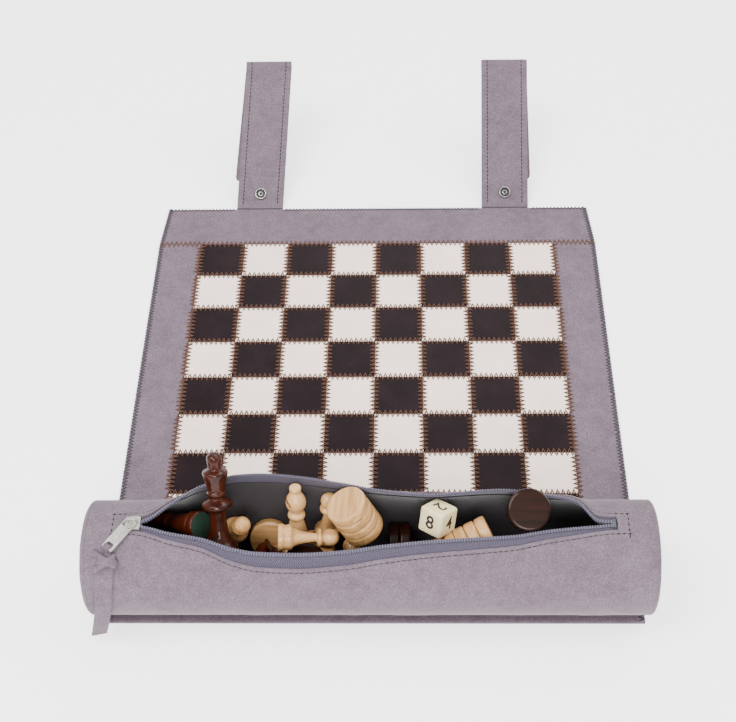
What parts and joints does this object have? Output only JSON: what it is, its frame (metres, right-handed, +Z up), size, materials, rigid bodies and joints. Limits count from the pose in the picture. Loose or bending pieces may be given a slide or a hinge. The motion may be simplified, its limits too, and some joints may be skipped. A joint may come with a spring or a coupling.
{
  "type": "roll-up backgammon set",
  "caption": "Roll-up leather games mat with a patchwork board, a zipped round pouch of wooden chessmen and draughtsmen, and two snap straps.",
  "frame": {"origin": "centre of the footprint of the whole set, on the table", "axes": "+X right along the pouch, +Y from the pouch over the board to the straps, +Z up"},
  "size_m": [0.4062, 0.581, 0.1183],
  "materials": {
    "nubuck": "mauve-grey nubuck with a fine mottled nap",
    "dark_leather": "smooth dark plum-brown leather",
    "light_leather": "smooth off-white leather",
    "lining": "dark charcoal cloth",
    "zip_tape": "blue-grey herringbone tape",
    "zip_coil": "grey coil teeth",
    "zip_metal": "pale grey painted zinc",
    "strap_leather": "mauve-grey nubuck, stitched at the edges",
    "snap_metal": "dark nickel",
    "dark_wood": "varnished dark brown",
    "light_wood": "varnished pale boxwood",
    "ivory_plastic": "ivory with dark numbers"
  },
  "bodies": {
    "pouch": {"front_band": "nubuck", "pouch_front_panel": "nubuck", "pouch_back_panel": "nubuck", "pouch_left_end": "nubuck", "pouch_right_end": "nubuck", "pouch_front_lining": "lining", "pouch_back_lining": "lining", "zip_front_tape": "zip_tape", "zip_back_tape": "zip_tape", "zip_front_coil": "zip_coil", "zip_back_coil": "zip_coil", "zip_stop": "zip_metal", "dark_king": "dark_wood", "dark_bishop": "dark_wood", "dark_knight": "dark_wood", "dark_draughts": "dark_wood", "light_pawns": "light_wood", "light_bishop": "light_wood", "light_draughts": "light_wood", "doubling_cube": "ivory_plastic"},
    "slider": {"zip_slider": "zip_metal"},
    "pull_tab": {"zip_pull_tab": "zip_metal"},
    "puller": {"leather_puller": "strap_leather"},
    "row_8": {"mat_row_8": "nubuck", "dark_squares_row_8": "dark_leather", "light_squares_row_8": "light_leather"},
    "row_7": {"mat_row_7": "nubuck", "dark_squares_row_7": "dark_leather", "light_squares_row_7": "light_leather"},
    "row_6": {"mat_row_6": "nubuck", "dark_squares_row_6": "dark_leather", "light_squares_row_6": "light_leather"},
    "row_5": {"mat_row_5": "nubuck", "dark_squares_row_5": "dark_leather", "light_squares_row_5": "light_leather"},
    "row_4": {"mat_row_4": "nubuck", "dark_squares_row_4": "dark_leather", "light_squares_row_4": "light_leather"},
    "row_3": {"mat_row_3": "nubuck", "dark_squares_row_3": "dark_leather", "light_squares_row_3": "light_leather"},
    "row_2": {"mat_row_2": "nubuck", "dark_squares_row_2": "dark_leather", "light_squares_row_2": "light_leather"},
    "row_1": {"mat_row_1": "nubuck", "dark_squares_row_1": "dark_leather", "light_squares_row_1": "light_leather"},
    "far_band": {"top_band": "nubuck"},
    "strap_left_lower": {"strap_left_run": "strap_leather", "strap_left_fold": "strap_leather", "snap_socket_left": "snap_metal"},
    "strap_left_upper": {"strap_left_return": "strap_leather", "snap_stud_left": "snap_metal"},
    "strap_right_lower": {"strap_right_run": "strap_leather", "strap_right_fold": "strap_leather", "snap_socket_right": "snap_metal"},
    "strap_right_upper": {"strap_right_return": "strap_leather", "snap_stud_right": "snap_metal"}
  },
  "joints": [
    {"name": "row_8_curl", "type": "hinge", "parent": "pouch", "child": "row_8", "pos_m": [0, -0.20138, 0.0024], "axis": [1, 0, 0], "range_deg": [0, 20]},
    {"name": "row_7_curl", "type": "hinge", "parent": "row_8", "child": "row_7", "pos_m": [0, -0.16138, 0.0024], "axis": [1, 0, 0], "range_deg": [0, 20]},
    {"name": "row_6_curl", "type": "hinge", "parent": "row_7", "child": "row_6", "pos_m": [0, -0.12138, 0.0024], "axis": [1, 0, 0], "range_deg": [0, 20]},
    {"name": "row_5_curl", "type": "hinge", "parent": "row_6", "child": "row_5", "pos_m": [0, -0.08138, 0.0024], "axis": [1, 0, 0], "range_deg": [0, 20]},
    {"name": "row_4_curl", "type": "hinge", "parent": "row_5", "child": "row_4", "pos_m": [0, -0.04138, 0.0024], "axis": [1, 0, 0], "range_deg": [0, 20]},
    {"name": "row_3_curl", "type": "hinge", "parent": "row_4", "child": "row_3", "pos_m": [0, -0.00138, 0.0024], "axis": [1, 0, 0], "range_deg": [0, 20]},
    {"name": "row_2_curl", "type": "hinge", "parent": "row_3", "child": "row_2", "pos_m": [0, 0.03862, 0.0024], "axis": [1, 0, 0], "range_deg": [0, 20]},
    {"name": "row_1_curl", "type": "hinge", "parent": "row_2", "child": "row_1", "pos_m": [0, 0.07862, 0.0024], "axis": [1, 0, 0], "range_deg": [0, 20]},
    {"name": "far_band_curl", "type": "hinge", "parent": "row_1", "child": "far_band", "pos_m": [0, 0.11862, 0.0024], "axis": [1, 0, 0], "range_deg": [0, 20]},
    {"name": "zip_slide", "type": "slide", "parent": "pouch", "child": "slider", "axis": [1, 0, 0], "range_m": [0, 0.115], "deforming": ["zip_front_tape", "zip_back_tape", "zip_front_coil", "zip_back_coil"]},
    {"name": "pull_tab_lift", "type": "hinge", "parent": "slider", "child": "pull_tab", "pos_m": [-0.166, -0.24638, 0.08785], "axis": [-0.788, 0.6157, 0], "range_deg": [0, 110]},
    {"name": "puller_swing", "type": "hinge", "parent": "pull_tab", "child": "puller", "pos_m": [-0.1814, -0.26609, 0.08344], "axis": [-0.788, 0.6157, 0], "range_deg": [0, 60]},
    {"name": "strap_left_root", "type": "hinge", "parent": "far_band", "child": "strap_left_lower", "pos_m": [-0.1095, 0.16702, 0.00115], "axis": [-1, 0, 0], "range_deg": [-65, 25]},
    {"name": "strap_left_unfold", "type": "hinge", "parent": "strap_left_lower", "child": "strap_left_upper", "pos_m": [-0.1095, 0.28428, 0.07409], "axis": [1, 0, 0], "range_deg": [0, 150], "deforming": ["strap_left_fold"]},
    {"name": "strap_right_root", "type": "hinge", "parent": "far_band", "child": "strap_right_lower", "pos_m": [0.119, 0.16702, 0.00115], "axis": [-1, 0, 0], "range_deg": [-65, 25]},
    {"name": "strap_right_unfold", "type": "hinge", "parent": "strap_right_lower", "child": "strap_right_upper", "pos_m": [0.119, 0.28428, 0.07409], "axis": [1, 0, 0], "range_deg": [0, 150], "deforming": ["strap_right_fold"]}
  ]
}
